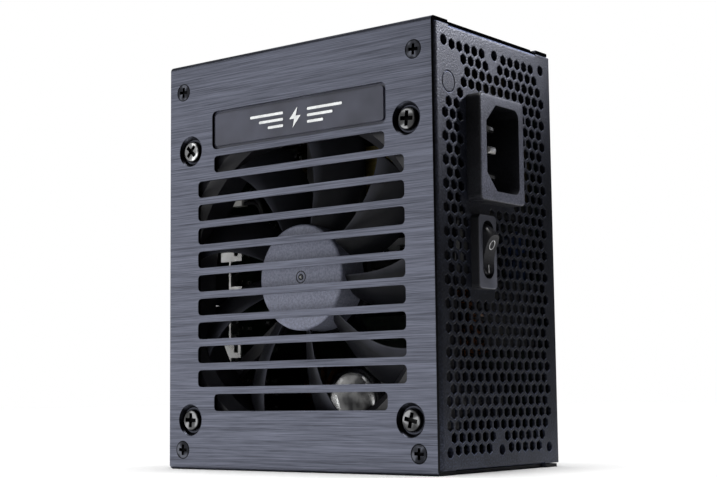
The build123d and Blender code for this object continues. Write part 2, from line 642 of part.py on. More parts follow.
def fan_core_parts():
    """The fan's motor: rotor ring, magnet, shaft, bearing, stator, coils and circuit board."""
    inner = HUB_R - HUB_WALL
    top = HUB_FRONT + 1.5
    strut_front = FAN_BACK - STRUT_T
    parts = {}
    parts["fan_rotor_ring"] = tube_y(0, FAN_Z, inner, inner - 0.8, top, HUB_REAR - 0.4)
    parts["fan_magnet"] = tube_y(0, FAN_Z, inner - 0.8, inner - 2.3, top + 0.6, HUB_REAR - 0.6)
    parts["fan_shaft"] = rod_y(0, FAN_Z, SHAFT_R, top, strut_front - 0.6)
    parts["fan_bearing"] = tube_y(0, FAN_Z, TUBE_R[0], BEARING_R, HUB_FRONT + 3.95, strut_front - 0.4)
    core = tube_y(0, FAN_Z, 6.4, TUBE_R[1], top + 3.0, HUB_REAR - 2.2)
    coils = []
    for k in range(4):
        turn = Pos(0, 0, FAN_Z) * Rot(0, 45 + 90 * k, 0)
        arm = slab(6.0, 10.4, top + 4.0, HUB_REAR - 3.2, -1.4, 1.4)
        shoe = slab(9.9, 11.1, top + 3.0, HUB_REAR - 2.2, -3.6, 3.6)
        core += turn * (arm + shoe)
        coil = slab(6.9, 9.8, top + 3.3, HUB_REAR - 2.5, -2.9, 2.9)
        coils.append(turn * (coil - slab(6, 12, top + 4.0, HUB_REAR - 3.2, -1.4, 1.4)))
    parts["fan_stator"] = core
    parts["fan_coils"] = coils
    parts["fan_circuit_board"] = tube_y(0, FAN_Z, 13.0, TUBE_R[1], strut_front - 1.0, strut_front)
    return parts


def largest_bends(points):
    """The radius of each corner's arc, as large as its two runs allow."""
    corners = [Vector(*point) for point in points]
    radii = []
    for before, here, after in zip(corners, corners[1:], corners[2:]):
        half_turn = math.radians((here - before).get_angle(after - here) / 2)
        run = min((here - before).length, (after - here).length)
        radii.append(0.45 * run / math.tan(half_turn))
    return radii


def lead_along(points, radius):
    """A round wire along straight runs joined by arcs."""
    path = FilletPolyline(*points, radius=largest_bends(points))
    start = Plane(origin=path @ 0, z_dir=path % 0)
    return sweep(start * Circle(radius), path=path)


def fan_lead():
    """Two wires from the back of the fan to the plug on the socket board."""
    plug_x, plug_y, plug_z = FAN_PLUG
    y = sum(plug_y) / 2
    wires = []
    for side in (-1, 1):
        dz = side * FAN_WIRE_GAP / 2
        z = sum(plug_z) / 2 + dz
        points = [
            (-9.0, FAN_BACK, 50.0 + dz),
            (-9.0, FAN_BACK + 8.0, 50.0 + dz),
            (-27.0, FAN_BACK + 6.5, z - 17.0),
            (plug_x[1] + 5.4, y, z),
            (plug_x[1], y, z),
        ]
        wires.append(lead_along(points, FAN_WIRE_R))
    return wires


# ------------------------------------------------------------------ main board and its components
def main_board():
    board = slab(*BOARD_X, BOARD_Y, BOARD_Y + BOARD_T, *BOARD_Z)
    for x, z in STANDOFFS:
        board -= rod_y(x, z, 1.5, BOARD_Y - 1, BOARD_Y + BOARD_T + 1)
    return board


def board_standoffs():
    """Round posts between the back wall and the main board."""
    y = BOARD_Y + BOARD_T
    return [tube_y(x, z, 3.0, 1.5, y, BACK_IN) for x, z in STANDOFFS]


def board_screws():
    group = []
    for x, z in STANDOFFS:
        head = rod_y(x, z, 2.8, BOARD_Y - 1.6, BOARD_Y)
        shank = rod_y(x, z, 1.5, BOARD_Y - 0.2, BOARD_Y + 4.5)
        group.append(head + shank - cross_recess(x, z, BOARD_Y - 1.6, 0.7, 3.0, 0.9, 30))
    return group


def insulation_sheet():
    """Thin sheet against the back wall, with holes round the standoffs."""
    sheet = slab(BOARD_X[0] - 2, BOARD_X[1] + 1, BACK_IN - 0.4, BACK_IN, BOARD_Z[0] - 1, BOARD_Z[1] + 1)
    for x, z in STANDOFFS:
        sheet -= rod_y(x, z, 3.2, BACK_IN - 1, BACK_IN + 1)
    return sheet


def can(x, z, radius, top):
    """An electrolytic capacitor standing on the main board, with its rolled groove."""
    body = rod_y(x, z, radius, top, BOARD_Y)
    body = fillet(edges_of_face(body, top), min(0.9, radius / 6))
    groove = Pos(x, BOARD_Y - 3.0, z) * Rot(90, 0, 0) * Torus(radius + 0.3, 0.8)
    return body - groove


def toroid_core(x, z, outer, inner, y0, y1):
    """A ring core lying flat, with rounded edges."""
    ring = tube_y(x, z, outer, inner, y0, y1)
    return fillet(ring.edges().filter_by(GeomType.CIRCLE), 1.0)


def toroid_winding(x, z, outer, inner, y0, y1, turns, wire, arcs):
    """Loops of wire round a ring core, over the given arcs in degrees, as separate solids."""
    loops = []
    slack = 0.12
    for start, end in arcs:
        for k in range(turns):
            angle = start + (end - start) * k / (turns - 1)
            loop = slab(inner - wire, outer + wire, y0 - wire, y1 + wire, -wire / 2, wire / 2)
            loop = fillet(loop.edges().filter_by(Axis.Z), wire)
            loop -= slab(inner - slack, outer, y0, y1, -wire, wire)
            loops.append(Pos(x, 0, z) * Rot(0, angle, 0) * loop)
    return loops


def main_transformer():
    """Ferrite core, tape-wrapped winding and the bobbin's pin base."""
    parts = {}
    middle_z = TRANSFORMER_Z
    window = slab(-8.0, 8.0, 0.0, 8.0, middle_z - 10, middle_z + 10)
    core = slab(-10, 10, -13, 21, middle_z - 15, middle_z + 15)
    core -= slab(-11, 11, -9.5, 17.5, middle_z - 9, middle_z + 9)
    parts["transformer_core"] = core + window
    winding = slab(-15.2, 15.2, -9.3, 17.3, middle_z - 8.8, middle_z + 8.8)
    winding = fillet(winding.edges().filter_by(Axis.Z), 5.0)
    parts["transformer_winding"] = winding - window
    base = slab(-15, 15, 21.2, 24.4, middle_z - 14, middle_z + 14)
    for x in range(-12, 13, 4):
        for z in (-12.5, 12.5):
            base += rod_y(x, middle_z + z, 0.5, 24.2, BOARD_Y)
    parts["transformer_bobbin"] = base
    return parts


def heat_sinks():
    """Bent aluminium plates that stand on the main board, with fins at their tops."""
    z0, z1 = HEAT_SINK_Z
    primary = slab(-14, 26, -8, BOARD_Y, z0, z1)
    for x in range(-13, 26, 6):
        primary += slab(x, x + 3, -8, -6.4, z0 - 4.0, z0 + 0.5)
    secondary = slab(-20, -18, -6, BOARD_Y, 74, 104)
    for z in range(75, 104, 6):
        secondary += slab(-24, -19, -6, -4.4, z, z + 3)
    return {"primary_heat_sink": primary, "secondary_heat_sink": secondary}


def power_transistors():
    """Three power transistors flat against the primary heat sink."""
    back = HEAT_SINK_Z[0]
    group = []
    for x in TRANSISTOR_X:
        piece = slab(x - 5, x + 5, 6, 15, back - 4.6, back)
        tab = slab(x - 5, x + 5, -0.5, 6.0, back - 1.3, back)
        piece += tab - rod_z(x, 2.6, 1.8, back - 2, back + 1)
        for dx in (-2.5, 0, 2.5):
            piece += slab(x + dx - 0.4, x + dx + 0.4, 15, BOARD_Y, back - 3.1, back - 2.6)
        group.append(piece)
    return group


def board_components():
    """The rest of what stands on the main board."""
    parts = {}
    for i, place in enumerate(BULK_CAPACITORS, 1):
        parts[f"bulk_capacitor_{i}"] = can(*place)
    whole, halves = ((0, 330),), ((20, 150), (200, 330))
    parts["pfc_choke_core"] = toroid_core(*PFC_CHOKE)
    parts["pfc_choke_winding"] = toroid_winding(*PFC_CHOKE, 22, 1.2, whole)
    parts["emi_choke_core"] = toroid_core(*EMI_CHOKE)
    parts["emi_choke_winding"] = toroid_winding(*EMI_CHOKE, 9, 0.9, halves)
    parts["output_choke_core"] = toroid_core(*OUTPUT_CHOKE)
    parts["output_choke_winding"] = toroid_winding(*OUTPUT_CHOKE, 12, 1.4, whole)
    parts["x_capacitors"] = [
        slab(30.5, 38.5, 9.0, BOARD_Y, 105.0, 119.0),
        slab(35.0, 45.5, 12.0, BOARD_Y, 79.0, 97.0),
    ]
    parts["y_capacitors"] = [
        rod_x(19.0, z, 3.6, 42.2, 45.0) + slab(43.2, 43.8, 19.0, BOARD_Y, z - 2.5, z + 2.5)
        for z in (58.2, 66.2, 102.0)
    ]
    parts["fuse"] = rod_z(30.0, BOARD_Y - 2.8, 2.6, 80.0, 100.0)
    parts["bridge_rectifier"] = slab(28.5, 45.0, 8.0, 22.0, 72.8, 76.0) + bridge_legs()
    parts["relay"] = slab(39.8, 47.4, 9.0, BOARD_Y, 35.0, 54.0)
    disc = rod_z(34.0, 17.0, 5.0, 66.0, 69.0)
    parts["thermistor"] = disc + slab(33.6, 34.4, 17, BOARD_Y, 67.2, 67.8)
    parts["standby_transformer"] = standby_transformer()
    parts["output_capacitors"] = output_capacitors()
    parts["control_board"] = slab(-16, 12, 1.0, BOARD_Y, *CONTROL_BOARD_Z)
    face = CONTROL_BOARD_Z[1]
    parts["control_chips"] = [
        slab(-12, -5, 6, 12, face, face + 1.8),
        slab(-1, 9, 8, 15, face, face + 2.0),
        slab(-10, -3, 15, 20, face, face + 1.5),
    ]
    return parts


def bridge_legs():
    """The bridge rectifier's four flat legs."""
    legs = [slab(x - 0.5, x + 0.5, 21.8, BOARD_Y, 74.0, 74.8) for x in (30.5, 35.0, 39.0, 43.0)]
    return legs[0] + legs[1:]


def standby_transformer():
    """Small transformer on its side: a taped winding inside a square core."""
    winding = slab(-15.5, -0.5, 7.0, 21.0, 106.8, 117.2)
    winding = fillet(winding.edges().filter_by(Axis.Z), 3.0)
    core = slab(-13, -3, 5.0, 23.0, 104.0, 120.0 - 0.3) - slab(-14, -2, 6.8, 21.2, 106.6, 117.4)
    return [winding, core + slab(-14, -2, 22.8, BOARD_Y, 105.0, 119.0)]


def output_capacitors():
    """Two columns of low-voltage capacitors beside the socket board."""
    group = []
    for x in OUTPUT_CAPACITOR_X:
        for z in OUTPUT_CAPACITOR_Z:
            group.append(can(x, z, 3.7, 8.0))
    group.append(can(-30.0, 57.0, 4.5, 6.0))
    return group


# ------------------------------------------------------------------ socket side
def socket_places():
    """Node, low Y, low Z and number of cells along Z for each output socket, two cells deep."""
    inner, outer = SOCKET_ROWS_Y
    return [
        ("socket_18pin", inner, 11.0, 9),
        ("socket_10pin", inner, 55.0, 5),
        ("drive_sockets", inner, 81.0, 3),
        ("drive_sockets", inner, 98.0, 3),
        ("cpu_sockets", outer, 11.0, 4),
        ("cpu_sockets", outer, 34.0, 4),
        ("pcie_sockets", outer, 62.0, 4),
        ("pcie_sockets", outer, 86.0, 4),
    ]


def socket_outline(y, z, cells):
    """Low and high Y and Z of a socket's block."""
    return y, y + 2 * CELL + 2 * SOCKET_WALL, z, z + cells * CELL + 2 * SOCKET_WALL


def cell_centres(y, z, cells):
    for row in range(2):
        for k in range(cells):
            yield y + SOCKET_WALL + (row + 0.5) * CELL, z + SOCKET_WALL + (k + 0.5) * CELL


def output_sockets():
    """Blocks of square cells, each with a latch ledge, their pins, and the board behind them."""
    mouth = -SIDE - SOCKET_PROUD
    rear = SOCKET_BOARD_X[0]
    tail = SOCKET_BOARD_X[1] + PIN_TAIL
    parts = {"socket_pins": []}
    half = CELL_HOLE / 2
    for node, y, z, cells in socket_places():
        block = slab(mouth, rear, *socket_outline(y, z, cells))
        for cy, cz in cell_centres(y, z, cells):
            block -= slab(mouth - 1, rear - SOCKET_FLOOR, cy - half, cy + half, cz - half, cz + half)
            pin = slab(mouth + SOCKET_PIN_START, tail, cy - 0.5, cy + 0.5, cz - 0.5, cz + 0.5)
            block -= pin
            parts["socket_pins"].append(pin)
        y1 = y + 2 * CELL + 2 * SOCKET_WALL
        middle = z + SOCKET_WALL + cells * CELL / 2
        block += slab(-PANEL_IN + 1.2, -PANEL_IN + 2.6, y1, y1 + 0.9, middle - 2.0, middle + 2.0)
        parts.setdefault(node, []).append(block)
    board = slab(*SOCKET_BOARD_X, *SOCKET_BOARD_Y, *SOCKET_BOARD_Z)
    parts["socket_board"] = board - parts["socket_pins"]
    return parts


def busbar():
    """Bright vertical strip on the socket board, with clips across its front edge."""
    y0, y1 = BUSBAR_Y
    x0 = SOCKET_BOARD_X[1]
    bar = slab(x0, x0 + BUSBAR_T, y0, y1, *BUSBAR_Z)
    for left, lean, right, low, high in BUSBAR_CLIPS:
        outline = [(left + lean, low), (right, low), (right, high), (left, high)]
        face = make_face(Polyline(*[(x0 + x, z) for x, z in outline], close=True))
        notch = slab(x0 + 2.2, x0 + 3.8, y0 - 1, y1, low + 1.6, high + 1)
        bar += prism_y(face, y0, y0 + BUSBAR_T) - notch
    bar += slab(x0, x0 + 5.5, y0, y0 + BUSBAR_T, *BUSBAR_FINGER_Z)
    return bar


def inlet_wires():
    """Line and neutral wires from the inlet's tabs to the main board."""
    y = INLET_MID[0] + BLADE_Y[1]
    start = INLET_REAR - 5.0
    wires = []
    for dz, x_end in ((BLADE_Z, 22.0), (-BLADE_Z, 19.0)):
        z = INLET_MID[1] + dz
        points = [(start, y, z), (x_end + 1.5, y, z), (x_end, y + 9, z - 1), (x_end, BOARD_Y, z - 1)]
        wires.append(lead_along(points, MAINS_WIRE_R))
    return wires


def earth_wire():
    """Earth wire from the inlet to a ring terminal screwed to the mains panel's inside."""
    y = INLET_MID[0] + BLADE_Y[0]
    z = INLET_MID[1]
    start = INLET_REAR - 5.0
    x = start - 3.5
    points = [(start, y, z), (x, y, z), (x, y + 14, z - 1), (x, BOARD_Y, z - 1)]
    return lead_along(points, MAINS_WIRE_R)


def all_parts():
    """Every node's name and its shape or list of shapes."""
    parts = {
        "base_chassis": base_chassis(),
        "fan_cover": fan_cover(),
        "cover_screws": cover_screws(),
        "fan_screws": fan_screws(),
        "name_plate": name_plate(),
        "emblem": emblem(),
        "inlet_housing": inlet_housing(),
        "inlet_pins": inlet_pins(),
        "switch_housing": switch_housing(),
        "switch_rocker": switch_rocker(),
        "switch_terminals": switch_terminals(),
        "fan_frame": fan_frame(),
        "fan_impeller": fan_impeller(),
        "fan_lead": fan_lead(),
        "fan_plug": slab(*FAN_PLUG[0], *FAN_PLUG[1], *FAN_PLUG[2]),
        "main_board": main_board(),
        "board_standoffs": board_standoffs(),
        "board_screws": board_screws(),
        "insulation_sheet": insulation_sheet(),
        "power_transistors": power_transistors(),
        "busbar": busbar(),
        "inlet_wires": inlet_wires(),
        "earth_wire": earth_wire(),
    }
    parts.update(fan_core_parts())
    parts.update(main_transformer())
    parts.update(heat_sinks())
    parts.update(board_components())
    parts.update(output_sockets())
    return parts


def main():
    os.makedirs("parts", exist_ok=True)
    for name, shape in all_parts().items():
        solids = shape if isinstance(shape, list) else [shape]
        flat = [solid for piece in solids for solid in piece.solids()]
        whole = flat[0] if len(flat) == 1 else Compound(children=flat)
        export_step(whole, f"parts/{name}.step")


main()
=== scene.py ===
import json
import math

import bmesh
import bpy
from mathutils import Matrix, Vector


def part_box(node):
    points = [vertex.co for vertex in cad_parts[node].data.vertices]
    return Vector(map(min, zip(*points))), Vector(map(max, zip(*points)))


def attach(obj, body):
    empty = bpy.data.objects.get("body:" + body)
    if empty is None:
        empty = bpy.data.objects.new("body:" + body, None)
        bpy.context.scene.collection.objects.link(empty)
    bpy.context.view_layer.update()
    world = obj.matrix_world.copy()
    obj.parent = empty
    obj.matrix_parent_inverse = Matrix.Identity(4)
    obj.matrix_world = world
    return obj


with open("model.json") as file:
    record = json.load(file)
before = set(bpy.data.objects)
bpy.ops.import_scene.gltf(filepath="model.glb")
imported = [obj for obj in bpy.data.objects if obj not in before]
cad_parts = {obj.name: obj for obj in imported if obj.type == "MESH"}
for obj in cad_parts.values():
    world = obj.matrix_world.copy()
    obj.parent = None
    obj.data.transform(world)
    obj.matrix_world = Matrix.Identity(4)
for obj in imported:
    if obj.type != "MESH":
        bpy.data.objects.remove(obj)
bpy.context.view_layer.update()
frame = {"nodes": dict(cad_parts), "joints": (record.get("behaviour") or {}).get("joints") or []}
MM = 0.001
NODES = frame["nodes"]

# ------------------------------------------------------------------ where things are, from the frame
COVER_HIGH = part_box("fan_cover")[1]
BASE_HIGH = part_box("base_chassis")[1]
CASE_MIDDLE = Vector((0, 0, COVER_HIGH.z / 2))
JOINT_AT = {joint["name"]: Vector(joint["pos_m"]) for joint in frame["joints"]}
ROCK_PIVOT = JOINT_AT["switch_rock"]
FAN_AXIS_Z = JOINT_AT["fan_spin"].z
HUB_LOW, HUB_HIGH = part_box("fan_impeller")
FAN_CENTRE = (HUB_LOW + HUB_HIGH) / 2
FAN_SCREW_LOW, FAN_SCREW_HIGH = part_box("fan_screws")
COVER_SCREW_LOW, COVER_SCREW_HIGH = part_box("cover_screws")

# Radii of round shapes, as in the CAD.
HUB_RADIUS = 15.45 * MM
FAN_SCREW_RADIUS = 3.2 * MM
COVER_SCREW_RADIUS = 2.75 * MM
DIMPLE_RADIUS = 4.75 * MM
DIMPLE_FLOOR_RADIUS = 3.8 * MM


def corner_places(low, high, radius):
    """The four axes of round heads that fill the corners of a box, as (x, z)."""
    return [(x, z) for x in (low.x + radius, high.x - radius) for z in (low.z + radius, high.z - radius)]


FAN_SCREW_AXES = corner_places(FAN_SCREW_LOW, FAN_SCREW_HIGH, FAN_SCREW_RADIUS)
COVER_SCREW_AXES = corner_places(COVER_SCREW_LOW, COVER_SCREW_HIGH, COVER_SCREW_RADIUS)

# ------------------------------------------------------------------ camera, light, floor
CAMERA_AZIMUTH = 37.95
CAMERA_ELEVATION = -6.25
CAMERA_ROLL = -0.626
CAMERA_DISTANCE = 446.23 * MM
CAMERA_ASIDE = -0.51 * MM        # the aim passes this far beside and above the case's middle
CAMERA_RISE = 6.89 * MM
CAMERA_LENS = 73.04


def make_camera():
    """A camera turned round the case's middle by its azimuth and elevation, then rolled and slid."""
    a, e = math.radians(CAMERA_AZIMUTH), math.radians(CAMERA_ELEVATION)
    back = Vector((math.sin(a) * math.cos(e), -math.cos(a) * math.cos(e), math.sin(e)))
    level = (-back).cross(Vector((0, 0, 1))).normalized()
    up = level.cross(-back)
    c, s = math.cos(math.radians(CAMERA_ROLL)), math.sin(math.radians(CAMERA_ROLL))
    right, top = c * level + s * up, c * up - s * level
    data = bpy.data.cameras.new("camera")
    data.lens = CAMERA_LENS
    data.clip_start, data.clip_end = 0.01, 50
    camera = bpy.data.objects.new("camera", data)
    place = CASE_MIDDLE + CAMERA_DISTANCE * back + CAMERA_ASIDE * right + CAMERA_RISE * top
    camera.matrix_world = Matrix.Translation(place) @ Matrix((right, top, back)).transposed().to_4x4()
    bpy.context.scene.collection.objects.link(camera)
    bpy.context.scene.camera = camera


def add_light(name, data, place, target):
    """Puts a light in the scene, pointing at a target."""
    light = bpy.data.objects.new(name, data)
    light.location = place
    light.rotation_mode = "QUATERNION"
    light.rotation_quaternion = (Vector(target) - Vector(place)).to_track_quat("-Z", "Y")
    bpy.context.scene.collection.objects.link(light)
    return light


def area_light(name, place, size, power):
    """A square soft light that points at the middle of the case."""
    data = bpy.data.lights.new(name, "AREA")
    data.shape = "SQUARE"
    data.size, data.energy = size, power
    return add_light(name, data, place, CASE_MIDDLE)


def sun_light(name, strength, spread_degrees):
    """Even light from straight above."""
    data = bpy.data.lights.new(name, "SUN")
    data.energy, data.angle = strength, math.radians(spread_degrees)
    return add_light(name, data, (0, 0, 1), (0, 0, 0))


def spot_light(name, place, target, power, colour, cone_degrees, radius):
    """A spotlight whose beam fades from its middle to its edge."""
    data = bpy.data.lights.new(name, "SPOT")
    data.energy, data.color = power, colour
    data.spot_size, data.spot_blend = math.radians(cone_degrees), 1.0
    data.shadow_soft_size = radius
    return add_light(name, data, place, target)


def only_on(light, pieces):
    """Lets a light reach only some pieces; returns their collection."""
    lit = bpy.data.collections.new(f"{light.name}_receivers")
    for name in pieces:
        lit.objects.link(bpy.data.objects[name])
    light.light_linking.receiver_collection = lit
    return lit


MAINS_SIDE = (
    "base_chassis", "inlet_housing", "inlet_pins", "switch_housing", "switch_rocker",
    "rocker_mark_off", "rocker_mark_on",
)
BRIGHT_INSIDE = ("busbar", "can_end_1", "can_end_2", "fan_plug")
FRONT_SOFTBOX_AT = (-0.85, -0.95, 0.25)
SIDE_SPOT_AT = (0.45, 0.42, 0.42)
SIDE_SPOT_ABOVE = 22 * MM        # its beam's middle passes this far above the mains panel
SIDE_SPOT_COLOUR = (0.86, 0.88, 1.0)
GLINT_ASIDE = math.radians(51)   # the glint comes from this far left of straight ahead
GLINT_FAR = 0.5
GLINT_RISE = 0.1


def make_lights():
    """An overhead light, a softbox in front, and two lights that each reach only a few pieces."""
    sun_light("overhead", strength=3.7, spread_degrees=25)
    area_light("front", FRONT_SOFTBOX_AT, size=0.9, power=2.9)
    target = (BASE_HIGH.x, 0, COVER_HIGH.z + SIDE_SPOT_ABOVE)
    side = spot_light("side", SIDE_SPOT_AT, target, 31, SIDE_SPOT_COLOUR, cone_degrees=11, radius=0.02)
    only_on(side, MAINS_SIDE)
    towards = Vector((-math.sin(GLINT_ASIDE), -math.cos(GLINT_ASIDE), GLINT_RISE))
    glint = area_light("glint", CASE_MIDDLE + GLINT_FAR * towards, size=0.21, power=0.42)
    glint.light_linking.blocker_collection = only_on(glint, BRIGHT_INSIDE)


def make_world():
    """Surroundings that look white but light little."""
    bpy.context.scene.view_settings.view_transform = "Standard"
    world = bpy.data.worlds.new("studio")
    world.use_nodes = True
    seen = node_of(world, "ShaderNodeLightPath").outputs["Is Camera Ray"]
    strength = node_of(world, "ShaderNodeMapRange", {"Value": seen, "To Min": 0.03, "To Max": 1.0})
    background = world.node_tree.nodes["Background"]
    background.inputs["Color"].default_value = (1, 1, 1, 1)
    world.node_tree.links.new(strength.outputs["Result"], background.inputs["Strength"])
    bpy.context.scene.world = world


def make_floor():
    """A square floor, which isn't part of the object."""
    reach = 3.0
    corners = [(-reach, -reach, 0), (reach, -reach, 0), (reach, reach, 0), (-reach, reach, 0)]
    mesh = bpy.data.meshes.new("floor")
    mesh.from_pydata(corners, [], [(0, 1, 2, 3)])
    mesh.materials.append(floor_finish())
    floor = bpy.data.objects.new("floor", mesh)
    bpy.context.scene.collection.objects.link(floor)


# ------------------------------------------------------------------ material helpers
def node_of(made, kind, inputs=None, **settings):
    """A new node in a material's or the world's tree; each input is a value or another node's output."""
    tree = made.node_tree
    node = tree.nodes.new(kind)
    for key, value in settings.items():
        setattr(node, key, value)
    for key, value in (inputs or {}).items():
        if isinstance(value, bpy.types.NodeSocket):
            tree.links.new(value, node.inputs[key])
        else:
            node.inputs[key].default_value = value
    return node


def surface(name, colour, metallic=0.0, roughness=0.5, specular=0.5, coat=0.0):
    """A plain principled material, for the textures below to build on."""
    made = bpy.data.materials.new(name)
    made.use_nodes = True
    shader = made.node_tree.nodes["Principled BSDF"]
    shader.inputs["Base Color"].default_value = (*colour, 1)
    shader.inputs["Metallic"].default_value = metallic
    shader.inputs["Roughness"].default_value = roughness
    shader.inputs["Specular IOR Level"].default_value = specular
    shader.inputs["Coat Weight"].default_value = coat
    return made


def plug(made, socket, source):
    """Links an output to one of the shader's sockets."""
    made.node_tree.links.new(source, made.node_tree.nodes["Principled BSDF"].inputs[socket])


def base_colour(made):
    """The output that feeds a material's colour so far."""
    return made.node_tree.nodes["Principled BSDF"].inputs["Base Color"].links[0].from_socket


def own_place(made):
    """A point's place in the part's own metres."""
    return node_of(made, "ShaderNodeTexCoord").outputs["Object"]


def noise(made, scale, detail=2.0, rough=0.5, stretch=(1, 1, 1)):
    """Noise in the part's own metres: its features are about 1/scale across, divided by stretch."""
    place = node_of(made, "ShaderNodeMapping", {"Vector": own_place(made), "Scale": stretch})
    inputs = {"Vector": place.outputs["Vector"], "Scale": scale, "Detail": detail, "Roughness": rough}
    return node_of(made, "ShaderNodeTexNoise", inputs).outputs["Fac"]


def ramp(made, source, stops):
    """Colours along a value, from (place, colour) pairs."""
    node = node_of(made, "ShaderNodeValToRGB", {"Fac": source})
    elements = node.color_ramp.elements
    while len(elements) < len(stops):
        elements.new(0.5)
    for element, (place, colour) in zip(elements, stops):
        element.position = place
        element.color = (*colour, 1)
    return node.outputs["Color"]


def spread(made, source, low, high):
    """The middle of a noise's range stretched to run from low to high."""
    inputs = {"Value": source, "From Min": 0.3, "From Max": 0.7, "To Min": low, "To Max": high}
    return node_of(made, "ShaderNodeMapRange", inputs).outputs["Result"]


def mixed_value(made, share, a, b):
    """A number between a and b."""
    return node_of(made, "ShaderNodeMix", {"Factor": share, "A": a, "B": b}).outputs["Result"]


def mixed_colour(made, share, a, b, blend="MIX"):
    """A colour between a and b, or a blended with b."""
    factor, a_colour, b_colour, colour_result = 0, 6, 7, 2
    inputs = {factor: share, a_colour: a, b_colour: b}
    node = node_of(made, "ShaderNodeMix", inputs, data_type="RGBA", blend_type=blend)
    return node.outputs[colour_result]


def rounded_normal(made, radius):
    """The surface's direction, as if its edges were rounded to a radius."""
    return node_of(made, "ShaderNodeBevel", {"Radius": radius}, samples=6).outputs["Normal"]


def bump(made, height, strength, distance, edge=0.0):
    """Surface relief from a height, over edges that look rounded to a radius in metres."""
    inputs = {"Height": height, "Strength": strength, "Distance": distance}
    if edge:
        inputs["Normal"] = rounded_normal(made, edge)
    plug(made, "Normal", node_of(made, "ShaderNodeBump", inputs).outputs["Normal"])


def shade(colour, factor):
    """A colour made darker or lighter."""
    return tuple(min(1.0, c * factor) for c in colour)


def nearest_axis(made, axes):
    """The distance to the nearest of some axes that run along Y, each given as (x, z)."""
    flat = node_of(made, "ShaderNodeVectorMath", {0: own_place(made), 1: (1, 0, 1)}, operation="MULTIPLY")
    gaps = []
    for x, z in axes:
        ends = {0: flat.outputs["Vector"], 1: (x, 0, z)}
        gaps.append(node_of(made, "ShaderNodeVectorMath", ends, operation="DISTANCE").outputs["Value"])
    nearest = gaps[0]
    for gap in gaps[1:]:
        nearest = node_of(made, "ShaderNodeMath", {0: nearest, 1: gap}, operation="MINIMUM").outputs["Value"]
    return nearest


def along(made, axis):
    """The part's own coordinate along one axis, in metres."""
    return node_of(made, "ShaderNodeSeparateXYZ", {"Vector": own_place(made)}).outputs[axis]


def facing(made, axis):
    """How far a face turns towards one of the part's own axes, from -1 to 1."""
    normal = node_of(made, "ShaderNodeTexCoord").outputs["Normal"]
    return node_of(made, "ShaderNodeSeparateXYZ", {"Vector": normal}).outputs[axis]


def edge_towards(made, direction, radius):
    """How far a rounded edge turns towards a direction."""
    inputs = {0: rounded_normal(made, radius), 1: direction}
    return node_of(made, "ShaderNodeVectorMath", inputs, operation="DOT_PRODUCT").outputs["Value"]


def multiplied(made, source, stops):
    """Multiplies a material's colour by colours that follow a value, from (value, colour) pairs in order."""
    low, high = stops[0][0], stops[-1][0]
    span = node_of(made, "ShaderNodeMapRange", {"Value": source, "From Min": low, "From Max": high})
    places = [((value - low) / (high - low), colour) for value, colour in stops]
    tint = ramp(made, span.outputs["Result"], places)
    plug(made, "Base Color", mixed_colour(made, 1.0, base_colour(made), tint, "MULTIPLY"))
    return made


def tinted(made, source, stops):
    """Multiplies a material's colour by greys that follow a value, from (value, grey) pairs in order."""
    return multiplied(made, source, [(value, (grey, grey, grey)) for value, grey in stops])


# ------------------------------------------------------------------ materials
COVER_BLUE_GREY = (0.140, 0.149, 0.190)
BASE_BLUE_GREY = (0.0115, 0.0135, 0.0215)
HUB_GREY = (0.265, 0.28, 0.36)
BLADE_BLACK = (0.010, 0.0105, 0.0135)
FLOOR_WHITE = (0.93, 0.93, 0.93)
BOUNCE_SHADE_GREY = (0.25, 0.25, 0.26)
# painted shade: greys by how far a face turns towards X, dark on the sides
SIDES_IN_SHADE = [(0.0, 0.12), (0.5, 0.12), (0.9, 1), (1.0, 1)]


def floor_finish():
    """Pale everywhere to the camera; beside the mains panel it is painted grey for the light it throws back
    up, so it throws little light back, as past a dark card: painted shade on the mains panel.
    """
    made = surface("floor_pale", FLOOR_WHITE, roughness=0.7)
    # painted shade: grey for light thrown back up beside the mains panel, white to the camera
    bounce_shade_edge = {"From Min": COVER_HIGH.x + 25 * MM, "From Max": COVER_HIGH.x + 55 * MM}
    inputs = {"Value": along(made, "X"), **bounce_shade_edge}
    bounce_shade = node_of(made, "ShaderNodeMapRange", inputs, interpolation_type="SMOOTHSTEP")
    thrown = ramp(made, bounce_shade.outputs["Result"], [(0.0, FLOOR_WHITE), (1.0, BOUNCE_SHADE_GREY)])
    seen = node_of(made, "ShaderNodeLightPath").outputs["Is Camera Ray"]
    plug(made, "Base Color", mixed_colour(made, seen, thrown, (*FLOOR_WHITE, 1)))
    return made


def brushed(name, colour, roughness, contrast):
    """Metal brushed along X: fine hairlines over broader bands."""
    made = surface(name, colour, metallic=1.0, roughness=roughness)
    hair = noise(made, 1.0, 3.0, 0.7, stretch=(55, 4200, 4200))
    bands = noise(made, 1.0, stretch=(16, 900, 900))
    both = mixed_value(made, 0.18, hair, bands)
    stops = [(0.34, shade(colour, 1 - contrast)), (0.5, colour), (0.66, shade(colour, 1 + contrast))]
    plug(made, "Base Color", ramp(made, both, stops))
    plug(made, "Roughness", spread(made, hair, roughness - 0.07, roughness + 0.09))
    bump(made, both, 0.35, 0.06 * MM)
    return made


def powder_coat(name, colour, speckle, edge):
    """Fine matte coating over rounded edges: soft grain with brighter specks."""
    made = surface(name, colour, roughness=0.4, specular=0.35)
    grain = noise(made, 1900, rough=0.55)
    broad = noise(made, 160)
    both = mixed_value(made, 0.25, grain, broad)
    stops = [(0.36, shade(colour, 0.62)), (0.5, colour), (0.62, shade(colour, speckle))]
    plug(made, "Base Color", ramp(made, both, stops))
    plug(made, "Roughness", spread(made, grain, 0.34, 0.50))
    bump(made, grain, 0.5, 0.24 * MM, edge)
    return made


